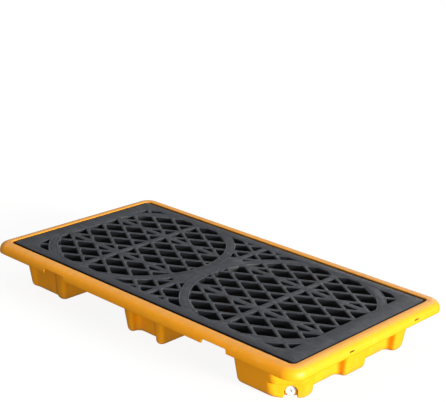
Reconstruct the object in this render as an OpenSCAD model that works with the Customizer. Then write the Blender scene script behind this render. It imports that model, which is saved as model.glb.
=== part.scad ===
// Spill containment pallet for two drums: a moulded tray on three skids,
// a lift-out deck grating and a screwed drain plug in one corner.
// Millimetres, +Z up, +X along the long side, origin at the middle of the footprint on the floor.
// The drain is at the +X, -Y corner.

/* [Overall size] */
// Length over the rim
outer_l = 1300; // [1000:10:1700]
// Width over the rim
outer_w = 690; // [560:10:1000]
// Height from the floor to the rim's top
height = 150; // [120:1:220]
// Corner radius of the rim, outside
rim_r = 50; // [36:1:60]

/* [Rim and skirt] */
// Width of the rim's flat top
rim_w = 39; // [30:1:60]
// Height of the skirt that hangs from the rim's outer edge
skirt_h = 31; // [20:1:50]
// Corner radius of the opening in the rim
opening_r = 16; // [8:1:30]
// Length of each grip notch in the skirt's lower edge
notch_l = 92; // [60:1:140]
// Height of each grip notch
notch_h = 13; // [6:1:20]
// Distance of the grip notches from the middle
notch_x = 348; // [320:1:380]
// Shift of the grip notches toward +X
notch_shift = 12; // [0:1:20]
// Length of each strap slot in the short sides' skirt
slot_l = 18; // [12:1:40]
// Height of each strap slot
slot_h = 4.5; // [3:0.5:8]
// Distance between the two strap slots of a short side
slot_pitch = 300; // [160:1:420]
// Shift of both slots toward +Y, clear of the drain corner
slot_shift = 45; // [0:1:60]
// Height of the rounding along the rim's outer top edge
rim_round = 9; // [3:1:14]

/* [Tank] */
// Wall thickness of the tray
wall = 5; // [3:0.5:8]
// Width of the ledge that carries the deck
ledge_w = 26; // [18:1:34]
// Slope of the tank's outer walls, degrees from upright
draft = 7; // [3:1:10]
// Clear height of the fork channels
fork_h = 88; // [60:1:110]
// Clear width of each fork channel at the floor
fork_w = 303; // [200:1:340]
// Width of the middle skid at the floor
mid_skid_w = 154; // [110:1:220]
// Radius of each column that carries the deck
column_r = 26; // [18:1:40]
// Distance between columns along a fork channel
column_pitch = 170; // [120:1:190]

/* [Flutes] */
// Depth of the flutes in the short sides and in the middle skid's ends
flute_d = 27; // [10:1:32]
// Depth of the shallow flutes in the outer skids' ends
dish_d = 7; // [3:1:14]
// Width of the lobe at each side of an end flute
lobe_w = 27; // [18:1:34]
// Width of the middle foot on each short side
foot_w = 96; // [60:1:140]
// Width of the end feet on each short side
end_foot_w = 76; // [60:1:110]
// Width of the end foot that holds the drain
drain_foot_w = 100; // [90:1:130]
// Radius of the flutes' upright edges
flute_r = 14; // [6:1:20]
// Radius of the tank's corners, below the ledge
tank_r = 60; // [50:1:90]

/* [Deck grating] */
// Depth of the grating
deck_t = 30; // [20:1:45]
// Gap between the grating and the rim at each end
deck_gap_x = 5; // [3:0.5:8]
// Gap between the grating and the rim at each long side
deck_gap_y = 11; // [3:0.5:13]
// Width of the border at the long sides
border_y = 34; // [24:1:50]
// Width of the border at the ends
border_x = 61; // [46:1:80]
// Length of one diamond of the lattice
cell_l = 121.4; // [90:0.1:150]
// Width of one diamond of the lattice
cell_w = 70; // [50:0.1:90]
// Thickness of a lattice rib
rib_t = 11; // [7:0.5:16]
// Thickness of the straight cross ribs
cross_rib_t = 19; // [12:0.5:26]
// Distance of the drum rings' centres from the middle
ring_x = 306.5; // [240:0.5:400]
// Inner radius of the drum rings
ring_ri = 276; // [250:1:300]
// Width of the drum rings
ring_w = 29; // [20:1:36]

/* [Drain] */
// Cut across the drain corner, along each side, level with the plug
corner_cut = 66; // [60:1:80]
// Cut across the drain corner above the plug
upper_cut = 50; // [30:1:56]
// Height where the upper cut starts
step_z = 46; // [44:1:60]
// Shift of the drain along the cut, towards the short side
drain_shift = 7; // [0:1:12]
// Radius of the drain pocket
pocket_r = 18; // [16:0.5:22]
// Depth of the drain pocket
pocket_d = 17; // [12:1:24]
// Height of the drain's centre line
drain_z = 18.5; // [18:0.5:24]
// Radius of the drain thread, as a plain running fit
thread_r = 10.4; // [8:0.1:12]
// Length of the threaded bush
bush_l = 18; // [10:1:24]
// Radius of the plug's flange
flange_r = 15; // [14:0.5:15.5]
// Thickness of the plug's flange
flange_t = 6; // [4:0.5:8]
// Thickness of the sealing ring
seal_t = 2.5; // [1.5:0.1:4]
// Width of the square recess for the plug key
key_w = 8; // [6:0.5:10]

/* [Fits] */
// Radial clearance of the plug in the bush
thread_clear = 0.06; // [0.03:0.01:0.1]
// Gap each side of the sealing ring
seal_gap = 0.2; // [0.1:0.05:0.3]
// Gap between the grating and its ledge and columns
seat_gap = 0.3; // [0.2:0.1:1]
// Gap between the sealing ring's bore and the plug's shank
ring_gap = 0.36; // [0.1:0.01:0.6]

/* [Hidden] */
$fn = 64;
eps = 0.5;

// Opening of the rim, and the deck that drops into it
opening_l = outer_l - 2 * rim_w;
opening_w = outer_w - 2 * rim_w;
deck_l = opening_l - 2 * deck_gap_x;
deck_w = opening_w - 2 * deck_gap_y;
ledge_z = height - deck_t - seat_gap;

// Outside of the tank just below the ledge, and at the floor
tank_l = opening_l - 2 * ledge_w + 2 * wall;
tank_w = opening_w - 2 * ledge_w + 2 * wall;
tank_top = ledge_z - wall;
slope = tan(draft);
tank_in = tank_top * slope;
foot_l = tank_l - 2 * tank_in;
foot_span = tank_w - 2 * tank_in;

// Skids along Y: the middle one, and one at each end
skid_x0 = mid_skid_w / 2 + fork_w;
skid_x1 = foot_l / 2;
channel_x = mid_skid_w / 2 + fork_w / 2;

// Lattice window of the deck
window_l = deck_l - 2 * border_x;
window_w = deck_w - 2 * border_y;
rib_step = cell_w;
rib_angle = atan2(cell_w, cell_l);
rib_count = ceil((window_w / 2 + window_l / 2 * cell_w / cell_l) / rib_step);
deck_r = opening_r - deck_gap_x + 1;
window_r = 4;

// Drain frame: its axis points out of the cut corner, square to the cut
cut_mid_x = skid_x1 - corner_cut / 2;
cut_mid_y = -foot_span / 2 + corner_cut / 2;
drain_turn = -45;
seat_in = -pocket_d;
reach = 90;
gasket_r = flange_r - 1.5;
shank_r = thread_r - thread_clear;
mid_foot_y = (drain_foot_w - end_foot_w) / 2;

// ---------- shared shapes ----------

module rounded(l, w, r) {
  hull_r = min(r, l / 2 - 1, w / 2 - 1);
  square([l - 2 * hull_r, w], center = true);
  square([l, w - 2 * hull_r], center = true);
  for (sx = [-1, 1], sy = [-1, 1])
    translate([sx * (l / 2 - hull_r), sy * (w / 2 - hull_r)]) circle(hull_r);
}

module slab(l, w, r, z0, z1) {
  translate([0, 0, z0]) linear_extrude(z1 - z0) rounded(l, w, r);
}

// Moves to the cut corner, with +X pointing out along the drain's axis
module at_drain() {
  translate([cut_mid_x, cut_mid_y, drain_z]) rotate([0, 0, drain_turn])
    translate([0, drain_shift, 0]) children();
}

// ---------- tray ----------

// Sloping block on the footprint foot_l by foot_span, growing upward by the draft;
// g is the wall taken off all round, so that the inside follows the outside
module sloped(g, z1) {
  low = g;
  half_x = foot_l / 2 - g;
  half_y = foot_span / 2 - g;
  intersection() {
    rotate([90, 0, 0]) linear_extrude(2 * outer_w, center = true)
      polygon([
        [-half_x - slope * low, low], [half_x + slope * low, low],
        [half_x + slope * z1, z1], [-half_x - slope * z1, z1]
      ]);
    rotate([90, 0, 90]) linear_extrude(2 * outer_l, center = true)
      polygon([
        [-half_y - slope * low, low], [half_y + slope * low, low],
        [half_y + slope * z1, z1], [-half_y - slope * z1, z1]
      ]);
    slab(tank_l - 2 * g, tank_w - 2 * g, tank_r - g, low, z1);
  }
}

// The two fork channels, grown by g
module fork_channels(g) {
  low = -10;
  top = fork_h + g;
  near = mid_skid_w / 2 - g;
  far = mid_skid_w / 2 + fork_w + g;
  for (sx = [0, 1]) mirror([sx, 0, 0])
    rotate([90, 0, 0]) linear_extrude(2 * outer_w, center = true)
      polygon([
        [near + slope * low, low], [far - slope * low, low],
        [far - slope * top, top], [near + slope * top, top]
      ]);
}

// One flute in plan, from y0 to y1 in a face that looks along +X, grown by g
module side_flute(y0, y1, g) {
  out = 50;
  translate([tank_l / 2 + out, (y0 + y1) / 2])
    rounded(2 * (out + tank_in + flute_d + g), y1 - y0 + 2 * g, flute_r);
}

// One flute in plan, w wide and d deep, in a face that looks along +Y, grown by g
module end_flute(w, d, g) {
  out = 50;
  translate([0, tank_w / 2 + out]) rounded(w + 2 * g, 2 * (out + tank_in + d + g), flute_r);
}

module flutes_2d(g) {
  half = foot_span / 2;
  // Drain side: the middle foot stands halfway between the end feet
  side_flute(drain_foot_w - half, mid_foot_y - foot_w / 2, g);
  side_flute(mid_foot_y + foot_w / 2, half - end_foot_w, g);
  // Other short side
  mirror([1, 0]) for (sy = [0, 1]) mirror([0, sy])
    side_flute(foot_w / 2, half - end_foot_w, g);
  // Ends of the skids
  for (sy = [0, 1]) mirror([0, sy]) end_flute(mid_skid_w - 2 * lobe_w, flute_d, g);
  dish_w = skid_x1 - skid_x0 - 3 * lobe_w;
  translate([(skid_x0 + skid_x1) / 2, 0]) end_flute(dish_w, dish_d, g);
  for (sy = [0, 1]) mirror([0, sy])
    translate([-(skid_x0 + skid_x1) / 2, 0]) end_flute(dish_w, dish_d, g);
}

// A cut across the drain corner, taking c along each side, moved in by g
module corner_cut_2d(c, g) {
  translate([skid_x1 - c / 2, -foot_span / 2 + c / 2]) rotate(drain_turn)
    translate([-g, -outer_w]) square([outer_w, 2 * outer_w]);
}

// The tank on its three skids, with all cuts from below; g is the wall for the inside
module tank_form(g, z1) {
  difference() {
    sloped(g, z1);
    fork_channels(g);
    translate([0, 0, -eps]) linear_extrude(fork_h + eps + g) {
      flutes_2d(g);
      corner_cut_2d(upper_cut, g);
    }
    translate([0, 0, -eps]) linear_extrude(step_z + eps + g) corner_cut_2d(corner_cut, g);
  }
}

// Arched pocket with its mouth open to the floor
module pocket(g) {
  at_drain() {
    translate([seat_in - g, 0, 0]) rotate([0, 90, 0]) cylinder(h = reach, r = pocket_r + g);
    translate([seat_in - g, -pocket_r - g, -drain_z - wall])
      cube([reach, 2 * (pocket_r + g), drain_z + wall]);
  }
}

// Boss round the bush, on the inside of the pocket
module drain_boss() {
  at_drain() translate([seat_in - bush_l, 0, 0]) rotate([0, 90, 0])
    cylinder(h = bush_l, r = thread_r + 2 * wall);
}

module columns(r, z0, z1) {
  for (sx = [-1, 1], k = [-1, 0, 1])
    translate([sx * channel_x, k * column_pitch, z0]) cylinder(h = z1 - z0, r = r);
}

module rim() {
  difference() {
    union() {
      slab(outer_l, outer_w, rim_r, height - skirt_h, height - rim_round);
      slab(outer_l - rim_round / 2, outer_w - rim_round / 2, rim_r - rim_round / 4,
           height - rim_round - eps, height - rim_round / 3);
      slab(outer_l - 1.4 * rim_round, outer_w - 1.4 * rim_round, rim_r - 0.7 * rim_round,
           height - rim_round / 3 - eps, height);
    }
    difference() {
      slab(outer_l - 2 * wall, outer_w - 2 * wall, rim_r - wall,
           height - skirt_h - eps, height - rim_round - wall / 2);
      slab(opening_l + 2 * wall, opening_w + 2 * wall, opening_r + wall,
           height - skirt_h - 2 * eps, height);
    }
    slab(opening_l, opening_w, opening_r, 0, height + eps);
    for (sx = [-1, 1], sy = [-1, 1])
      translate([notch_shift + sx * notch_x, sy * outer_w / 2, height - skirt_h])
        cube([notch_l, 8 * wall, 2 * notch_h], center = true);
    for (sx = [-1, 1], sy = [-1, 1])
      translate([sx * outer_l / 2, slot_shift + sy * slot_pitch / 2, height - skirt_h + notch_h])
        cube([4 * wall, slot_l, slot_h], center = true);
  }
}

module seat() {
  difference() {
    slab(opening_l + 2 * wall, opening_w + 2 * wall, opening_r + wall, tank_top, height - rim_round);
    slab(opening_l, opening_w, opening_r, ledge_z, height + eps);
    slab(opening_l - 2 * ledge_w, opening_w - 2 * ledge_w, tank_r - wall, 0, height);
  }
}

module tray_inside() {
  difference() {
    tank_form(wall, ledge_z + eps);
    pocket(wall);
    drain_boss();
    columns(column_r, 0, height);
  }
  // Hollow of each column, open to the fork channel
  columns(column_r - wall, 0, ledge_z - wall);
}

module sump() {
  color([0.96, 0.72, 0.02]) {
    difference() {
      union() {
        tank_form(0, ledge_z - wall / 2);
        columns(column_r, fork_h + wall / 2, ledge_z);
      }
      tray_inside();
      pocket(0);
      at_drain() translate([seat_in - bush_l, 0, 0]) rotate([0, 90, 0])
        cylinder(h = bush_l + 1, r = thread_r + wall);
    }
    seat();
    rim();
  }
}

// ---------- deck grating ----------

module lattice_2d() {
  bar = 2 * (window_l + window_w);
  for (s = [-1, 1], k = [-rib_count:rib_count])
    translate([0, k * rib_step]) rotate(s * rib_angle) square([bar, rib_t], center = true);
  for (x = [-ring_x, 0, ring_x]) translate([x, 0]) square([cross_rib_t, 2 * deck_w], center = true);
  for (y = [-1.5, 1.5]) translate([0, y * cell_w]) square([2 * deck_l, cross_rib_t], center = true);
  for (sx = [-1, 1]) translate([sx * ring_x, 0]) difference() {
    circle(ring_ri + ring_w, $fn = 128);
    circle(ring_ri, $fn = 128);
  }
}

module deck_grating() {
  color([0.15, 0.155, 0.17])
    translate([0, 0, height - deck_t]) linear_extrude(deck_t)
      difference() {
        rounded(deck_l, deck_w, deck_r);
        difference() {
          rounded(window_l, window_w, window_r);
          lattice_2d();
        }
      }
}

// ---------- drain ----------

module drain_bush() {
  color([0.78, 0.6, 0.3])
    at_drain() translate([seat_in - bush_l, 0, 0]) rotate([0, 90, 0])
      difference() {
        cylinder(h = bush_l, r = thread_r + wall);
        translate([0, 0, -eps]) cylinder(h = bush_l + 2 * eps, r = thread_r);
      }
}

module drain_gasket() {
  color([0.08, 0.08, 0.08])
    at_drain() translate([seat_in + seal_gap, 0, 0]) rotate([0, 90, 0])
      difference() {
        cylinder(h = seal_t, r = gasket_r);
        translate([0, 0, -eps]) cylinder(h = seal_t + 2 * eps, r = shank_r + ring_gap);
      }
}

module drain_plug() {
  flange_x = seat_in + 2 * seal_gap + seal_t;
  shank = bush_l - 2;
  color([0.93, 0.93, 0.92])
    at_drain() rotate([0, 90, 0]) difference() {
      union() {
        translate([0, 0, flange_x]) cylinder(h = flange_t, r = flange_r);
        translate([0, 0, seat_in - shank]) cylinder(h = shank + flange_x - seat_in + 1,
                                                   r = shank_r);
      }
      // Square recess for a plug key
      translate([0, 0, flange_x + flange_t]) cube([key_w, key_w, 2 * flange_t], center = true);
    }
}

sump();
deck_grating();
drain_bush();
drain_gasket();
drain_plug();
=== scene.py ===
"""Looks of the spill containment pallet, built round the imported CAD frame.

Metres and the CAD frame everywhere; shape functions work in millimetres and are scaled once.
"""

import math

import bmesh
import bpy
import numpy as np
from mathutils import Matrix, Vector

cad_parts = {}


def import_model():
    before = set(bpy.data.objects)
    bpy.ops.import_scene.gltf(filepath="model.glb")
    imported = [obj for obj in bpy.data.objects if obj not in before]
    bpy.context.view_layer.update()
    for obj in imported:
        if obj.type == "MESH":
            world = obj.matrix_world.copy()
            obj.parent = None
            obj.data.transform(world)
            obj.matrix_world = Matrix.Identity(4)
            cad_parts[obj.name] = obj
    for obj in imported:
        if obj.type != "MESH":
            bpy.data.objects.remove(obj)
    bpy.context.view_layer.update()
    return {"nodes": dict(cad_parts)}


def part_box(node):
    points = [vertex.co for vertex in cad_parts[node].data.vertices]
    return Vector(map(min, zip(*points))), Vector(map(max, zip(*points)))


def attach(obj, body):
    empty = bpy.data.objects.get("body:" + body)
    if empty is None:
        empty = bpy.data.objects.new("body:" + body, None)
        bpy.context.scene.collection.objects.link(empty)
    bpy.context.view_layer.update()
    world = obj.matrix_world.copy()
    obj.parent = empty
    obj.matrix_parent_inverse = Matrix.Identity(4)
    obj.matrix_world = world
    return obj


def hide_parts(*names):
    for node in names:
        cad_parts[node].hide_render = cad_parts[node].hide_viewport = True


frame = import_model()

MM = 0.001


def corners_mm(node):
    """Lowest and highest corner of a CAD node, in millimetres."""
    low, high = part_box(node)
    return [v / MM for v in low], [v / MM for v in high]


# ---------- sizes, in millimetres ----------
# OUTER, OPEN, DECK, TANK and FOOT are half lengths, from the pallet's middle. The sizes are those of the
# CAD source, where TANK_R is 60; roundings, beads and the thread's depth are only here.

_, (OUTER_X, OUTER_Y, TOP) = corners_mm("sump")
(_, _, DECK_LOW), (DECK_X, DECK_Y, _) = corners_mm("deck_grating")
WALL = 5
DIAG = math.sqrt(0.5)

# rim with its skirt, grip notches and strap slots, and the opening for the deck
RIM_W, RIM_R, CROWN = 39, 50, 28
SKIRT_LOW = TOP - 31
OPEN_X, OPEN_Y, OPEN_R = OUTER_X - RIM_W, OUTER_Y - RIM_W, 16
LEDGE_W, LEDGE_TOP = 26, DECK_LOW - 0.3
NOTCH_X, NOTCH_SHIFT, NOTCH_L, NOTCH_H = 348, 12, 92, 13
SLOT_SHIFT, SLOT_PITCH, SLOT_DEEP = 45, 300, 2
SLOT_HALF_L, SLOT_HALF_H, SLOT_R = 9, 2.25, 2.2
SLOT_Z = SKIRT_LOW + NOTCH_H

# tank, skids, flutes and columns
TANK_TOP = LEDGE_TOP - WALL
DRAFT = math.radians(7)
SLOPE, LEAN = math.tan(DRAFT), math.cos(DRAFT)
TANK_X, TANK_Y = OPEN_X - LEDGE_W + WALL, OPEN_Y - LEDGE_W + WALL
FOOT_X, FOOT_Y = TANK_X - TANK_TOP * SLOPE, TANK_Y - TANK_TOP * SLOPE
TANK_R = 52
FORK_H = 88
SKID_HALF, END_SKID = 77, 380
CHANNEL_X = (SKID_HALF + END_SKID) / 2
COLUMN_R, COLUMN_PITCH = 26, 170
FLUTE_D, DISH_D, FLUTE_R, LOBE = 27, 7, 14, 27
END_FLUTES = ((1, -171, -36), (1, 60, 195), (-1, -195, -48), (-1, 48, 195))  # end, from y, to y
BEYOND = 50  # how far past the tank a cutting shape reaches

# drain corner, pocket, bush and plug
CUT_LOW, CUT_HIGH, CUT_STEP_Z = 66, 50, 46
CUT_X, CUT_Y = FOOT_X - CUT_LOW / 2, -FOOT_Y + CUT_LOW / 2
DRAIN_Z, DRAIN_SHIFT = 18.5, 7
POCKET_R, POCKET_D = 18, 17
SHARP_R, SHARP_FADE = 30, 25  # the foot's lower edge is sharper this near the pocket
BUSH_R, BUSH_L = 15.4, 18
THREAD_R, THREAD_DEEP, PITCH = 10.4, 0.9, 1.814
ROWS_PER_TURN = 7  # of the thread's mesh
FLANGE_R, FLANGE_L = 15, 6
SEAT = 2.9  # from the pocket's floor out to the flange, with the sealing ring between them
KEY_HALF, KEY_DEEP = 4, 6

# grating
RING_X, RING_LOW, RING_HIGH = 306.5, 276, 305
WINDOW_X, WINDOW_Y = DECK_X - 61, DECK_Y - 34
BEAD = 0.8
BEAD_SECTION = ((-2.2, -1.6), (2.2, -1.6), (1.3, -0.4), (0.5, 0), (-0.5, 0), (-1.3, -0.4))
BORDER_R, HOLE_R, EASE = 10, 4.5, 2.3
SLIVER = 150  # holes of a smaller area, in square millimetres, stay closed

# meshing of the tray
GRID = 3.0
MARGIN = 4.3
KEPT_FACES = 0.22


# ---------- distance functions ----------

def smax(a, b, k):
    """The larger of two distances, with the crease rounded to about radius k."""
    return np.maximum(a, b) + np.square(np.maximum(k - np.abs(a - b), 0)) / (4 * k)


def smin(a, b, k):
    """The smaller of two distances, rounded likewise."""
    return -smax(-a, -b, k)


def rect(x, y, half_x, half_y, r):
    """Distance to a rectangle with corners of radius r."""
    u, v = np.abs(x) - half_x + r, np.abs(y) - half_y + r
    return np.hypot(np.maximum(u, 0), np.maximum(v, 0)) + np.minimum(np.maximum(u, v), 0) - r


def flutes(x, y):
    """Plan of every flute in the tank's sides, negative inside a flute."""
    far = TANK_X + BEYOND
    reach = far - (FOOT_X - FLUTE_D)
    parts = [rect(end * x - far, y - (y0 + y1) / 2, reach, (y1 - y0) / 2, FLUTE_R)
             for end, y0, y1 in END_FLUTES]
    far = TANK_Y + BEYOND
    parts.append(rect(x, np.abs(y) - far, SKID_HALF - LOBE, far - (FOOT_Y - FLUTE_D), FLUTE_R))
    return np.minimum.reduce(np.broadcast_arrays(*parts))


def dishes(x, y):
    """Plan of the shallow dishes in the outer skids' ends; the drain corner has none."""
    far = TANK_Y + BEYOND
    middle, half = (END_SKID + FOOT_X) / 2, (FOOT_X - END_SKID - 3 * LOBE) / 2
    reach = far - (FOOT_Y - DISH_D)
    return np.minimum(rect(x + middle, np.abs(y) - far, half, reach, FLUTE_R),
                      rect(x - middle, y - far, half, reach, FLUTE_R))


def drain_axes(x, y):
    """Distance out along the drain's axis, from the corner's cut, and across it."""
    out = ((x - CUT_X) - (y - CUT_Y)) * DIAG
    across = ((x - CUT_X) + (y - CUT_Y)) * DIAG - DRAIN_SHIFT
    return out, across


def tank(x, y, z):
    """Outside of the tank on its skids, open at the top."""
    d = rect(x, y, FOOT_X + SLOPE * z, FOOT_Y + SLOPE * z, TANK_R) * LEAN
    ax = np.abs(x)
    side = np.maximum(SKID_HALF + SLOPE * z - ax, ax - END_SKID + SLOPE * z) * LEAN
    d = smax(d, -smax(side, z - FORK_H, 12), 16)
    d = smax(d, -smax(flutes(x, y), z - FORK_H, 8), 12)
    d = smax(d, -smax(dishes(x, y), z - FORK_H, 8), 22)
    out, across = drain_axes(x, y)
    low = smax(-out, z - CUT_STEP_Z, 3)
    high = smax((CUT_LOW - CUT_HIGH) * DIAG - out, z - FORK_H, 8)
    d = smax(d, -np.minimum(low, high), 8)
    up = z - DRAIN_Z
    arch = np.where(up > 0, np.hypot(across, up), np.abs(across)) - POCKET_R
    d = smax(d, -np.maximum(arch, -POCKET_D - out), 3)
    away = np.clip((np.hypot(out + POCKET_D, across) - SHARP_R) / SHARP_FADE, 0, 1)
    return smax(d, -z, 4 + 12 * away)


def rim(x, y, z):
    """Rim with its hanging skirt, the wall round the deck and the ledge below it."""
    plan = rect(x, y, OUTER_X, OUTER_Y, RIM_R)
    d = smax(smax(plan, z - TOP, CROWN), SKIRT_LOW - z, 2.5)
    inner = rect(x, y, OPEN_X + WALL, OPEN_Y + WALL, OPEN_R + WALL)
    hollow = smax(smax(plan + WALL, z - (TOP - WALL - 1), CROWN), -inner, 5)
    d = smax(d, -hollow, 2)
    notch = rect(np.abs(x - NOTCH_SHIFT) - NOTCH_X, z - SKIRT_LOW, NOTCH_L / 2, NOTCH_H, 6)
    d = smax(d, -np.maximum(notch, OUTER_Y - RIM_W / 2 - np.abs(y)), 2.5)
    slot_y = np.abs(y - SLOT_SHIFT) - SLOT_PITCH / 2
    slot = rect(slot_y, z - SLOT_Z, SLOT_HALF_L, SLOT_HALF_H, SLOT_R)
    d = np.maximum(d, -np.maximum(slot, OUTER_X - SLOT_DEEP - np.abs(x)))
    d = np.minimum(d, np.maximum(np.maximum(inner, TANK_TOP - z), z - (TOP - 2 * WALL)))
    opening = rect(x, y, OPEN_X, OPEN_Y, OPEN_R)
    d = smax(d, -np.maximum(opening, LEDGE_TOP - z), 3)
    return smax(d, -rect(x, y, OPEN_X - LEDGE_W, OPEN_Y - LEDGE_W, TANK_R - WALL), 2)


def tray(x, y, z):
    """The whole moulded tray."""
    t = tank(x, y, z)
    d = np.maximum(np.maximum(t, z - LEDGE_TOP + WALL / 2), -(t + WALL))
    d = smin(d, rim(x, y, z), 4)
    near = np.abs(y) - COLUMN_PITCH * (np.abs(y) > COLUMN_PITCH / 2)
    column = np.hypot(np.abs(x) - CHANNEL_X, near)
    post = np.maximum(column - COLUMN_R, np.maximum(z - LEDGE_TOP, FORK_H + 1 - z))
    d = smin(d, post, 5)
    d = smax(d, -np.maximum(column - COLUMN_R + WALL, z - TANK_TOP), 2)
    out, across = drain_axes(x, y)
    ring = np.hypot(across, z - DRAIN_Z)
    boss = np.maximum(ring - BUSH_R - WALL, np.maximum(out + POCKET_D + 1, -POCKET_D - BUSH_L - out))
    boss = np.maximum(boss, 2 - z)
    d = smin(d, boss, 3)
    return np.maximum(d, -np.maximum(ring - BUSH_R, -POCKET_D - BUSH_L - 1 - out))


# ---------- from a distance function to a mesh ----------

def surface(f, low, high, step):
    """Closed quad mesh of f = 0 on a grid of that step: one vertex in each cell that f crosses."""
    axes = [np.arange(a, b + step, step, dtype=np.float32) for a, b in zip(low, high)]
    d = np.ascontiguousarray(f(axes[0][:, None, None], axes[1][None, :, None], axes[2][None, None, :]))
    inside = d < 0
    count = sum(inside[i:i - 1 or None, j:j - 1 or None, k:k - 1 or None].astype(np.int8)
                for i in (0, 1) for j in (0, 1) for k in (0, 1))
    cells = np.argwhere((count > 0) & (count < 8))
    number = np.full(count.shape, -1, np.int32)
    number[tuple(cells.T)] = np.arange(len(cells))
    total, hits = np.zeros((len(cells), 3)), np.zeros(len(cells))
    for axis in range(3):
        u, v = (axis + 1) % 3, (axis + 2) % 3
        for b in (0, 1):
            for c in (0, 1):
                start = np.zeros(3, int)
                start[u], start[v] = b, c
                end = start.copy()
                end[axis] = 1
                d0, d1 = d[tuple((cells + start).T)], d[tuple((cells + end).T)]
                hit = (d0 < 0) != (d1 < 0)
                place = np.repeat(start[None, :].astype(float), hit.sum(), 0)
                place[:, axis] = d0[hit] / (d0[hit] - d1[hit])
                total[hit] += place
                hits[hit] += 1
    points = np.array([a[0] for a in axes]) + (cells + total / hits[:, None]) * step
    quads = []
    for axis in range(3):
        u, v = (axis + 1) % 3, (axis + 2) % 3
        before = np.take(inside, range(inside.shape[axis] - 1), axis)
        after = np.take(inside, range(1, inside.shape[axis]), axis)
        edges = np.argwhere(before != after)
        ring = []
        for du, dv in ((-1, -1), (0, -1), (0, 0), (-1, 0)):
            near = edges.copy()
            near[:, u] += du
            near[:, v] += dv
            ring.append(number[tuple(near.T)])
        ring = np.stack(ring, 1)
        flip = ~before[tuple(edges.T)]
        ring[flip] = ring[flip][:, ::-1]
        quads.append(ring)
    return points, np.concatenate(quads)


def settle(f, points, rounds):
    """Moves points onto f = 0 and returns them with the surface's normals there."""
    p, e = points.astype(float), 0.2
    for turn in range(rounds + 1):
        x, y, z = p.T
        slope = np.stack([f(x + e, y, z) - f(x - e, y, z), f(x, y + e, z) - f(x, y - e, z),
                          f(x, y, z + e) - f(x, y, z - e)], 1) / (2 * e)
        size = np.maximum((slope * slope).sum(1), 0.3)
        if turn < rounds:
            p -= np.clip(f(x, y, z) / size, -1.5, 1.5)[:, None] * slope
    return p, slope / np.sqrt(size)[:, None]


def mesh_of(name, points, faces):
    """Object from points in millimetres and equal-sized faces."""
    faces = np.asarray(faces)
    mesh = bpy.data.meshes.new(name)
    mesh.vertices.add(len(points))
    mesh.vertices.foreach_set("co", (np.asarray(points) * MM).astype(np.float32).ravel())
    mesh.loops.add(faces.size)
    mesh.loops.foreach_set("vertex_index", faces.astype(np.int32).ravel())
    mesh.polygons.add(len(faces))
    mesh.polygons.foreach_set("loop_start", np.arange(0, faces.size, faces.shape[1], dtype=np.int32))
    mesh.update(calc_edges=True)
    mesh.validate()
    obj = bpy.data.objects.new(name, mesh)
    bpy.context.scene.collection.objects.link(obj)
    return obj


def points_of(obj):
    """An object's vertices, in millimetres."""
    co = np.zeros(len(obj.data.vertices) * 3, np.float32)
    obj.data.vertices.foreach_get("co", co)
    return co.reshape(-1, 3) / MM


def thinned(obj, ratio):
    """Collapses an object's faces to that share of their number."""
    modifier = obj.modifiers.new("thin", "DECIMATE")
    modifier.ratio = ratio
    bpy.context.view_layer.update()
    depsgraph = bpy.context.evaluated_depsgraph_get()
    mesh = bpy.data.meshes.new_from_object(obj.evaluated_get(depsgraph))
    obj.modifiers.clear()
    obj.data = mesh
    mesh.name = obj.name


def smooth_by(obj, degrees):
    """Smooth shading, with edges sharp where faces meet at more than that angle."""
    obj.data.shade_smooth()
    obj.data.set_sharp_from_angle(angle=math.radians(degrees))


# ---------- tray ----------

def build_tray():
    """The tray as one mesh that lies on f = 0, with that surface's own normals."""
    low = (-OUTER_X - MARGIN, -OUTER_Y - MARGIN, -MARGIN)
    high = (OUTER_X + MARGIN, OUTER_Y + MARGIN, TOP + MARGIN)
    points, quads = surface(tray, low, high, GRID)
    points, _ = settle(tray, points, 3)
    obj = mesh_of("tray_shell", points, quads)
    thinned(obj, KEPT_FACES)
    points, normals = settle(tray, points_of(obj), 2)
    points[:, 2] = np.maximum(points[:, 2], 0)
    obj.data.vertices.foreach_set("co", (points * MM).astype(np.float32).ravel())
    obj.data.update()
    obj.data.shade_smooth()
    obj.data.normals_split_custom_set_from_vertices(normals.tolist())
    return obj


tray_shell = build_tray()
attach(tray_shell, "tray")
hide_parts("sump")


# ---------- deck grating ----------

def top_loops(node):
    """Outlines of a CAD node's top face, in millimetres, each as an array of points in order."""
    mesh = frame["nodes"][node].data
    spots = np.array([v.co for v in mesh.vertices]) / MM
    high = spots[:, 2].max()
    keys = {}
    name = [keys.setdefault((round(x * 50), round(y * 50)), len(keys)) for x, y, _ in spots]
    place = np.zeros((len(keys), 2))
    place[name] = spots[:, :2]
    directed = set()
    for face in mesh.polygons:
        if all(spots[i][2] > high - 0.01 for i in face.vertices):
            ids = [name[i] for i in face.vertices]
            directed.update(zip(ids, ids[1:] + ids[:1]))
    follow = {}
    for a, b in sorted(directed):
        if (b, a) not in directed:
            follow.setdefault(a, []).append(b)
    loops = []
    while follow:
        start = min(follow)
        loop, at = [start], follow[start].pop()
        if not follow[start]:
            del follow[start]
        while at != start:
            loop.append(at)
            onward = follow[at].pop()
            if not follow[at]:
                del follow[at]
            at = onward
        loops.append(place[loop])
    return loops


def area(loop):
    """Area inside a loop, positive when it turns to the left."""
    x, y = loop.T
    return (x * np.roll(y, -1) - y * np.roll(x, -1)).sum() / 2


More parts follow.
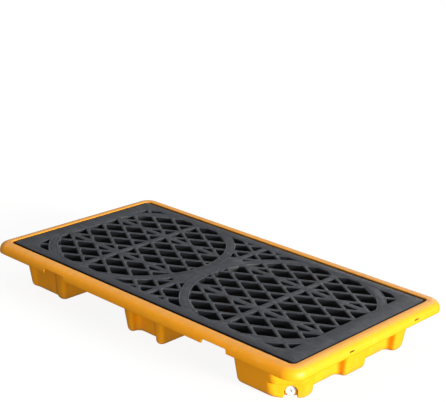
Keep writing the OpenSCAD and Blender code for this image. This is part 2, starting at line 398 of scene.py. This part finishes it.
def softened(loop, r, steps=5, least=18):
    """Rounds a polygon's corners to radius r, or less where its sides are short."""
    done = []
    for back, at, ahead in zip(np.roll(loop, 1, 0), loop, np.roll(loop, -1, 0)):
        a, b = at - back, ahead - at
        la, lb = np.hypot(*a), np.hypot(*b)
        turn = math.atan2(a[0] * b[1] - a[1] * b[0], a @ b)
        if abs(math.degrees(turn)) < least:
            done.append(at)
            continue
        reach = min(abs(r * math.tan(turn / 2)), 0.45 * la, 0.45 * lb)
        start, end = at - a / la * reach, at + b / lb * reach
        for t in np.linspace(0, 1, steps):
            done.append((1 - t) ** 2 * start + 2 * t * (1 - t) * at + t * t * end)
    return np.array(done)


def grown(loop, by):
    """Moves each point of a loop to the loop's right by that distance."""
    a, b = loop - np.roll(loop, 1, 0), np.roll(loop, -1, 0) - loop
    a /= np.linalg.norm(a, axis=1)[:, None]
    b /= np.linalg.norm(b, axis=1)[:, None]
    n = np.stack([a[:, 1] + b[:, 1], -a[:, 0] - b[:, 0]], 1)
    return loop + by * 2 * n / np.maximum((n * n).sum(1), 1.2)[:, None]


def add_beads(bm, middle, radius):
    """A raised bead on the deck along a circle, wherever the circle runs over the lattice."""
    steps = 360
    turn = np.linspace(0, 2 * math.pi, steps, endpoint=False)
    x, y = middle + radius * np.cos(turn), radius * np.sin(turn)
    over = (np.abs(y) < WINDOW_Y + 9) & (np.abs(x) < WINDOW_X + 9)
    first = next(i for i in range(steps) if over[i] and not over[i - 1])
    arc = []
    for k in range(steps + 1):
        i = (first + k) % steps
        if over[i] and k < steps:
            arc.append([bm.verts.new(((middle + (radius + out) * math.cos(turn[i])) * MM,
                                      (radius + out) * math.sin(turn[i]) * MM, (TOP + up) * MM))
                        for out, up in BEAD_SECTION])
        elif arc:
            for a, b in zip(arc, arc[1:]):
                for j in range(len(BEAD_SECTION)):
                    n = (j + 1) % len(BEAD_SECTION)
                    bm.faces.new((a[j], a[n], b[n], b[j]))
            bm.faces.new(arc[0][::-1])
            bm.faces.new(arc[-1])
            arc = []


def build_deck():
    """The grating: rounded hole corners, eased edges, a slight draft, a bead at each ring's edges."""
    bm = bmesh.new()
    crown = TOP - BEAD
    profile = [(-EASE, crown), (-0.6 * EASE, crown - 0.12 * EASE), (-0.25 * EASE, crown - 0.4 * EASE),
               (0, crown - EASE), (-0.4, DECK_LOW + 1), (-1.2, DECK_LOW)]
    rims = ([], [])
    for loop in top_loops("deck_grating"):
        outer = area(loop) > 0
        if not outer and -area(loop) < SLIVER:
            continue
        loop = softened(loop, BORDER_R if outer else HOLE_R)
        rows = []
        for inward, z in profile:
            ring = grown(loop, inward)
            rows.append([bm.verts.new((x * MM, y * MM, z * MM)) for x, y in ring])
        n = len(loop)
        for upper, lower in zip(rows, rows[1:]):
            for i in range(n):
                j = (i + 1) % n
                bm.faces.new((upper[i], lower[i], lower[j], upper[j]))
        for rim_edges, row in zip(rims, (rows[0], rows[-1])):
            rim_edges += [bm.edges.get((row[i], row[(i + 1) % n])) for i in range(n)]
    for rim_edges in rims:
        bmesh.ops.triangle_fill(bm, use_beauty=True, use_dissolve=False, edges=rim_edges)
    for side in (-1, 1):
        for radius in (RING_LOW + 1.6, RING_HIGH - 1.6):
            add_beads(bm, side * RING_X, radius)
    bmesh.ops.dissolve_degenerate(bm, dist=0.00001, edges=bm.edges)
    bmesh.ops.recalc_face_normals(bm, faces=bm.faces)
    mesh = bpy.data.meshes.new("deck_lattice")
    bm.to_mesh(mesh)
    bm.free()
    obj = bpy.data.objects.new("deck_lattice", mesh)
    bpy.context.scene.collection.objects.link(obj)
    smooth_by(obj, 35)
    return obj


deck = build_deck()
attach(deck, "deck")
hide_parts("deck_grating")


# ---------- drain parts ----------

DRAIN = (Matrix.Translation(Vector((CUT_X + DRAIN_SHIFT * DIAG, CUT_Y + DRAIN_SHIFT * DIAG, DRAIN_Z)) * MM)
         @ Matrix.Rotation(math.radians(-45), 4, "Z"))


def turned(name, profile, steps=72, loop=False):
    """Turned piece on the drain's axis: profile holds (place along it, radius, shape of the radius)."""
    angles = np.linspace(0, 2 * math.pi, steps, endpoint=False)
    rings = []
    for along, radius, form in profile:
        r = radius * form(along, angles) if form else np.full(steps, float(radius))
        rings.append(np.stack([np.full(steps, along), r * np.cos(angles), r * np.sin(angles)], 1))
    points = np.concatenate(rings)
    count = len(rings)
    i = np.arange(steps)
    j = (i + 1) % steps
    quads = []
    for a in range(count if loop else count - 1):
        b = (a + 1) % count
        quads.append(np.stack([a * steps + i, a * steps + j, b * steps + j, b * steps + i], 1))
    obj = mesh_of(name, points, np.concatenate(quads))
    if not loop:
        bm = bmesh.new()
        bm.from_mesh(obj.data)
        bmesh.ops.holes_fill(bm, edges=[e for e in bm.edges if e.is_boundary])
        bmesh.ops.recalc_face_normals(bm, faces=bm.faces)
        bm.to_mesh(obj.data)
        bm.free()
    obj.data.transform(DRAIN)
    smooth_by(obj, 40)
    return obj


def square(along, angles):
    """A square with rounded corners, as a share of its half width."""
    return 1 / np.power(np.abs(np.cos(angles)) ** 8 + np.abs(np.sin(angles)) ** 8, 1 / 8)


def grip(along, angles):
    """Shallow grooves round the flange."""
    return 1 - 0.022 * np.maximum(np.cos(20 * angles), 0) ** 2


def helix(depth):
    """Shape of a radius that rises by that depth along a screw line."""
    def form(along, angles):
        phase = (along / PITCH - angles / (2 * math.pi)) % 1
        return 1 + depth * np.clip(1.3 - 2.6 * np.abs(2 * phase - 1), 0, 1) / THREAD_R
    return form


def threaded(start, end, radius, depth, ease=1.2):
    """Profile rows of a thread from start to end, that fades out over ease at both ends."""
    rows = []
    step = PITCH / ROWS_PER_TURN * (1 if end > start else -1)
    for along in np.arange(start, end, step):
        share = min(1, abs(along - start) / ease, abs(end - along) / ease)
        rows.append((along, radius, helix(depth * share)))
    return rows


def build_plug():
    """Plug with a key recess in its flange and a hollow threaded shank."""
    face = -POCKET_D + SEAT + FLANGE_L
    seat = face - FLANGE_L
    tip = -POCKET_D - BUSH_L + 2
    rows = [(face - KEY_DEEP, 1.6, square), (face - KEY_DEEP, KEY_HALF - 0.4, square),
            (face - KEY_DEEP + 0.6, KEY_HALF, square), (face - 0.9, KEY_HALF, square),
            (face - 0.3, KEY_HALF + 0.3, square), (face - 0.2, 5.2, None),
            (face - 0.2, 7.4, None), (face - 0.1, 8, None), (face, 8.4, None),
            (face, FLANGE_R - 2.4, None), (face - 0.3, FLANGE_R - 1.1, None),
            (face - 1.1, FLANGE_R - 0.3, grip), (face - 2, FLANGE_R, grip), (seat + 1, FLANGE_R, grip),
            (seat + 0.3, FLANGE_R - 0.4, grip), (seat, FLANGE_R - 1.1, None), (seat, 11.2, None),
            (seat - 0.4, 10.2, None), (seat - 3.2, 10, None)]
    rows += threaded(seat - 3.4, tip + 1.2, THREAD_R - 0.06, -THREAD_DEEP)
    rows += [(tip + 0.9, 9.8, None), (tip, 8.9, None), (tip, 6.9, None), (tip + 0.6, 6.3, None),
             (tip + 10, 5.9, None)]
    return turned("plug_threaded", rows)


def build_bush():
    """Bush moulded into the tank's wall, threaded inside."""
    start, end = -POCKET_D - BUSH_L, -POCKET_D
    rows = [(start + 0.5, BUSH_R, None), (end - 0.5, BUSH_R, None), (end, BUSH_R - 0.5, None),
            (end, THREAD_R + 1.1, None), (end - 0.6, THREAD_R + 0.5, None)]
    rows += threaded(end - 1, start + 1, THREAD_R + 0.02, THREAD_DEEP, ease=0.8)
    rows += [(start + 0.6, THREAD_R + 0.5, None), (start, THREAD_R + 1.1, None),
             (start, BUSH_R - 0.5, None)]
    return turned("bush_threaded", rows, loop=True)


def build_gasket():
    """Flat sealing ring with rounded edges."""
    start, end = -POCKET_D + 0.2, -POCKET_D + 2.7
    inner, outer = THREAD_R + 0.3, FLANGE_R - 1.5
    edge, mid = 0.6, 0.18
    rows = [(start + edge, outer, None), (end - edge, outer, None), (end - mid, outer - mid, None),
            (end, outer - edge, None), (end, inner + edge, None), (end - mid, inner + mid, None),
            (end - edge, inner, None), (start + edge, inner, None), (start + mid, inner + mid, None),
            (start, inner + edge, None), (start, outer - edge, None), (start + mid, outer - mid, None)]
    return turned("gasket_ring", rows, loop=True)


plug, bush, gasket = build_plug(), build_bush(), build_gasket()
for piece, body, node, finish in ((plug, "plug", "drain_plug", "plug_white"),
                                  (bush, "tray", "drain_bush", "bush_brass"),
                                  (gasket, "seal", "drain_gasket", "gasket_rubber")):
    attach(piece, body)
    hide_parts(node)


# ---------- materials ----------

class Surface:
    """A material's node tree, filled one node at a time."""

    def __init__(self, name):
        self.material = bpy.data.materials.new(name)
        self.material.use_nodes = True
        self.tree = self.material.node_tree
        self.tree.nodes.clear()
        self.place = self.add("ShaderNodeTexCoord").outputs["Object"]

    def add(self, kind, inputs=(), **settings):
        node = self.tree.nodes.new(kind)
        for key, value in settings.items():
            setattr(node, key, value)
        for key, value in dict(inputs).items():
            if isinstance(value, bpy.types.NodeSocket):
                self.tree.links.new(value, node.inputs[key])
            else:
                node.inputs[key].default_value = value
        return node

    def parts(self, vector):
        """The X, Y and Z of a vector."""
        return self.add("ShaderNodeSeparateXYZ", {"Vector": vector}).outputs

    def noise(self, scale, detail=3.0, rough=0.55, stretch=None):
        place = self.place
        if stretch:
            place = self.add("ShaderNodeMapping", {"Vector": place, "Scale": stretch}).outputs["Vector"]
        made = self.add("ShaderNodeTexNoise", {"Vector": place, "Scale": scale, "Detail": detail,
                                               "Roughness": rough})
        return made.outputs["Fac"]

    def spread(self, value, low, high, to_low=0.0, to_high=1.0):
        """Maps low..high to another range, and clamps it there."""
        made = self.add("ShaderNodeMapRange", {"Value": value, "From Min": low, "From Max": high,
                                               "To Min": to_low, "To Max": to_high})
        return made.outputs["Result"]

    def math(self, operation, a, b):
        return self.add("ShaderNodeMath", {0: a, 1: b}, operation=operation).outputs[0]

    def product(self, first, *others):
        for other in others:
            first = self.math("MULTIPLY", first, other)
        return first

    def gap(self, value, middle):
        """How far a value is from a middle one."""
        return self.math("ABSOLUTE", self.math("SUBTRACT", value, middle), 0.0)

    def mix(self, share, a, b):
        made = self.add("ShaderNodeMix", {"Factor": share, "A": a, "B": b}, data_type="RGBA")
        return made.outputs["Result"]

    def bump(self, height, distance, normal=None):
        inputs = {"Height": height, "Distance": distance, "Strength": 1.0}
        if normal is not None:
            inputs["Normal"] = normal
        return self.add("ShaderNodeBump", inputs).outputs["Normal"]

    def finish(self, **inputs):
        """Closes the tree with a principled shader and returns the material."""
        names = {"color": "Base Color", "rough": "Roughness", "metal": "Metallic", "normal": "Normal",
                 "ior": "IOR", "shine": "Specular IOR Level"}
        shader = self.add("ShaderNodeBsdfPrincipled", {names[k]: v for k, v in inputs.items()})
        self.add("ShaderNodeOutputMaterial", {"Surface": shader.outputs["BSDF"]})
        return self.material


def rgb(r, g, b):
    """Opaque colour, in linear light."""
    return (r, g, b, 1.0)


def opening_wall_shade(s, off_x, off_y, height):
    """Share of the wall round the deck, from the ledge up to just below the rim's top, that gets painted
    shade.
    """
    inside = s.product(s.spread(off_x, (OPEN_X + 1.6) * MM, (OPEN_X + 0.4) * MM),
                       s.spread(off_y, (OPEN_Y + 1.6) * MM, (OPEN_Y + 0.4) * MM))
    beside = s.math("MAXIMUM", s.spread(off_x, (OPEN_X - 20) * MM, (OPEN_X - 6) * MM),
                    s.spread(off_y, (OPEN_Y - 20) * MM, (OPEN_Y - 6) * MM))
    return s.product(inside, s.spread(height, (TOP - 0.3) * MM, (TOP - 2.6) * MM),
                     s.spread(height, (LEDGE_TOP - 6) * MM, LEDGE_TOP * MM), beside)


def strap_slot_shade(s, off_x, y, height):
    """Share of the strap slots' insides, which get painted shade."""
    off_y = s.gap(s.gap(y, SLOT_SHIFT * MM), SLOT_PITCH / 2 * MM)
    off_z = s.gap(height, SLOT_Z * MM)
    return s.product(s.spread(off_y, (SLOT_HALF_L + 0.6) * MM, SLOT_HALF_L * MM),
                     s.spread(off_z, (SLOT_HALF_H + 0.45) * MM, (SLOT_HALF_H - 0.05) * MM),
                     s.spread(off_x, (OUTER_X - 0.6) * MM, (OUTER_X - 1.6) * MM))


def moulded_yellow():
    """Tray: cloudy yellow with specks, scuffs, darker towards the bottom, painted shade on the wall round
    the deck and in the strap slots, and dust on top.
    """
    s = Surface("moulded_yellow")
    spot = s.parts(s.place)
    height = spot["Z"]
    off_x, off_y = s.gap(spot["X"], 0.0), s.gap(spot["Y"], 0.0)

    cloudy = s.spread(s.noise(5.0, 4.0), 0.3, 0.7)
    color = s.mix(cloudy, rgb(0.80, 0.295, 0.004), rgb(0.86, 0.33, 0.006))
    speck = s.spread(s.noise(900.0, 2.0), 0.62, 0.72, 0.0, 0.10)
    color = s.mix(speck, color, rgb(0.55, 0.22, 0.01))
    scuff = s.product(s.spread(s.noise(9.0, 6.0, 0.65, (1.0, 7.0, 3.0)), 0.60, 0.74),
                      s.spread(s.noise(70.0, 4.0), 0.42, 0.62))
    color = s.mix(s.product(scuff, 0.35), color, rgb(0.90, 0.58, 0.16))
    # darker towards the bottom, in patches
    darker_low = s.product(s.spread(height, 0.035, 0.0), s.spread(s.noise(22.0, 5.0), 0.40, 0.68), 0.45)
    color = s.mix(darker_low, color, rgb(0.28, 0.16, 0.05))
    # painted shade: the wall round the deck is darkened to dark brown, in patches, where the key light
    # would brighten it
    wall_shade = s.product(opening_wall_shade(s, off_x, off_y, height),
                     s.spread(s.noise(18.0, 4.0), 0.25, 0.65, 0.45, 0.85))
    color = s.mix(wall_shade, color, rgb(0.07, 0.038, 0.014))
    upward = s.parts(s.add("ShaderNodeNewGeometry").outputs["Normal"])["Z"]
    dust = s.product(s.spread(upward, 0.75, 1.0, 0.0, 0.20),
                     s.spread(s.noise(12.0, 5.0, 0.6), 0.3, 0.65, 0.55, 1.0))
    color = s.mix(dust, color, rgb(0.66, 0.50, 0.27))
    # painted shade inside the strap slots
    color = s.mix(strap_slot_shade(s, off_x, spot["Y"], height), color, rgb(0.035, 0.018, 0.006))

    rough = s.math("ADD", s.spread(s.noise(45.0, 4.0), 0.3, 0.7, 0.36, 0.50), s.product(scuff, 0.15))
    wave = s.bump(s.noise(26.0, 2.0), 0.0011)
    normal = s.bump(s.noise(620.0, 2.0), 0.00016, normal=wave)
    return s.finish(color=color, rough=rough, normal=normal, ior=1.5, shine=0.32)


def moulded_black():
    """Grating: charcoal, worn and dusty on top, with painted shade on everything below the top."""
    s = Surface("moulded_black")
    height = s.parts(s.place)["Z"]
    cloudy = s.spread(s.noise(7.0, 4.0), 0.3, 0.7)
    color = s.mix(cloudy, rgb(0.025, 0.028, 0.036), rgb(0.036, 0.039, 0.048))
    crown = s.spread(height, (TOP - BEAD - 3) * MM, (TOP - BEAD - 1.1) * MM)
    # painted shade: below the top, the hole sides are near black
    color = s.mix(crown, rgb(0.006, 0.0064, 0.008), color)
    worn = s.product(crown, s.spread(s.noise(14.0, 7.0, 0.7, (1.0, 2.6, 1.0)), 0.50, 0.72), 0.5)
    color = s.mix(worn, color, rgb(0.090, 0.093, 0.100))
    dust = s.product(crown, s.spread(s.noise(260.0, 3.0), 0.60, 0.75), 0.35)
    color = s.mix(dust, color, rgb(0.16, 0.16, 0.155))
    rough = s.spread(s.noise(60.0, 4.0), 0.3, 0.7, 0.44, 0.60)
    wave = s.bump(s.noise(34.0, 2.0), 0.0007)
    normal = s.bump(s.noise(480.0, 3.0, 0.6), 0.00030, normal=wave)
    return s.finish(color=color, rough=rough, normal=normal, ior=1.5, shine=0.3)


def moulded_white():
    """Plug: off-white plastic, a little grubby."""
    s = Surface("moulded_white")
    color = s.mix(s.spread(s.noise(90.0, 4.0), 0.35, 0.7), rgb(0.60, 0.59, 0.55), rgb(0.52, 0.50, 0.45))
    rough = s.spread(s.noise(200.0, 3.0), 0.3, 0.7, 0.34, 0.5)
    return s.finish(color=color, rough=rough, normal=s.bump(s.noise(900.0, 2.0), 0.00008), ior=1.5)


def dull_brass():
    """Bush: turned brass, dulled in patches."""
    s = Surface("turned_brass")
    color = s.mix(s.spread(s.noise(110.0, 5.0), 0.35, 0.7), rgb(0.74, 0.52, 0.23), rgb(0.48, 0.32, 0.14))
    rough = s.spread(s.noise(300.0, 3.0), 0.3, 0.7, 0.24, 0.45)
    return s.finish(color=color, rough=rough, metal=1.0, normal=s.bump(s.noise(1500.0, 2.0), 0.00003))


def black_rubber():
    """Sealing ring."""
    s = Surface("ring_rubber")
    color = s.mix(s.spread(s.noise(150.0, 4.0), 0.35, 0.7), rgb(0.018, 0.018, 0.019), rgb(0.04, 0.04, 0.04))
    rough = s.spread(s.noise(400.0, 3.0), 0.3, 0.7, 0.6, 0.8)
    return s.finish(color=color, rough=rough, normal=s.bump(s.noise(1100.0, 2.0), 0.00006))


for piece, finish in ((tray_shell, moulded_yellow), (deck, moulded_black), (plug, moulded_white),
                      (bush, dull_brass), (gasket, black_rubber)):
    piece.data.materials.clear()
    piece.data.materials.append(finish())


# ---------- floor, light and camera ----------

def floor():
    """Wide round floor with an upright edge, so that no view shows a horizon."""
    radius, under, over = 45, -0.0005, 25.0
    bm = bmesh.new()
    turns = np.linspace(0, 2 * math.pi, 48, endpoint=False)
    low, high = ([bm.verts.new((radius * math.cos(t), radius * math.sin(t), z)) for t in turns]
                 for z in (under, over))
    bm.faces.new(low)
    for i in range(len(low)):
        bm.faces.new((low[i], low[i - 1], high[i - 1], high[i]))
    mesh = bpy.data.meshes.new("floor")
    bm.to_mesh(mesh)
    bm.free()
    obj = bpy.data.objects.new("floor", mesh)
    bpy.context.scene.collection.objects.link(obj)
    s = Surface("pale_floor")
    dull = s.add("ShaderNodeBsdfDiffuse", {"Color": rgb(0.12, 0.12, 0.12)})
    glow = s.add("ShaderNodeEmission", {"Color": rgb(1.0, 1.0, 1.0), "Strength": 0.90})
    both = s.add("ShaderNodeAddShader", {0: dull.outputs[0], 1: glow.outputs[0]})
    s.add("ShaderNodeOutputMaterial", {"Surface": both.outputs[0]})
    mesh.materials.append(s.material)
    obj.visible_diffuse = obj.visible_glossy = obj.visible_shadow = False


def sun(name, azimuth, elevation, strength, spread, color):
    """Sunlight that comes from that azimuth, in degrees from +X towards +Y, and elevation."""
    lamp = bpy.data.lights.new(name, "SUN")
    lamp.energy, lamp.angle, lamp.color = strength, math.radians(spread), color
    obj = bpy.data.objects.new(name, lamp)
    a, e = math.radians(azimuth), math.radians(elevation)
    away = Vector((math.cos(a) * math.cos(e), math.sin(a) * math.cos(e), math.sin(e)))
    obj.rotation_mode = "QUATERNION"
    obj.rotation_quaternion = away.to_track_quat("Z", "Y")
    bpy.context.scene.collection.objects.link(obj)


def fill(power):
    """Broad light low in front of the drain corner; it leaves no highlight."""
    place, away = (2.4, -2.6, 0.55), Vector((2.4, -2.3, 0.5))
    lamp = bpy.data.lights.new("fill", "AREA")
    lamp.energy, lamp.size = power, 1.2
    obj = bpy.data.objects.new("fill", lamp)
    obj.location = place
    obj.rotation_mode = "QUATERNION"
    obj.rotation_quaternion = away.to_track_quat("Z", "Y")
    obj.visible_glossy = obj.visible_camera = False
    bpy.context.scene.collection.objects.link(obj)


def camera():
    """The photo's view: place in metres, then azimuth, elevation and roll in degrees."""
    place = (2.320, -2.375, 1.495)
    a, e, roll = (math.radians(v) for v in (43.62, 18.65, 1.25))
    data = bpy.data.cameras.new("camera")
    data.sensor_width, data.lens = 36.0, 92.67
    data.clip_start, data.clip_end = 0.1, 100.0
    ahead = Vector((-math.sin(a) * math.cos(e), math.cos(a) * math.cos(e), -math.sin(e)))
    level = Vector((math.cos(a), math.sin(a), 0))
    upright = level.cross(ahead)
    right = level * math.cos(roll) + upright * math.sin(roll)
    up = right.cross(ahead)
    obj = bpy.data.objects.new("camera", data)
    rows = Matrix((right, up, -ahead)).transposed()
    obj.matrix_world = Matrix.Translation(place) @ rows.to_4x4()
    bpy.context.scene.collection.objects.link(obj)
    bpy.context.scene.camera = obj


def world():
    """White surroundings that are brighter overhead than below."""
    made = bpy.data.worlds.new("studio")
    made.use_nodes = True
    tree = made.node_tree
    place = tree.nodes.new("ShaderNodeTexCoord")
    parts = tree.nodes.new("ShaderNodeSeparateXYZ")
    fade = tree.nodes.new("ShaderNodeMapRange")
    background = tree.nodes["Background"]
    tree.links.new(place.outputs["Generated"], parts.inputs["Vector"])
    tree.links.new(parts.outputs["Z"], fade.inputs["Value"])
    tree.links.new(fade.outputs["Result"], background.inputs["Strength"])
    for key, value in (("From Min", -0.35), ("From Max", 0.55), ("To Min", 0.10), ("To Max", 0.50)):
        fade.inputs[key].default_value = value
    background.inputs["Color"].default_value = rgb(1.0, 1.0, 1.0)
    bpy.context.scene.world = made


floor()
world()
sun("key", 4.0, 11.0, 7.2, 18.0, (1.0, 1.0, 0.96))
sun("back", 112.0, 17.0, 0.42, 24.0, (1.0, 1.0, 1.0))
fill(60.0)
camera()
bpy.context.scene.view_settings.view_transform = "Standard"
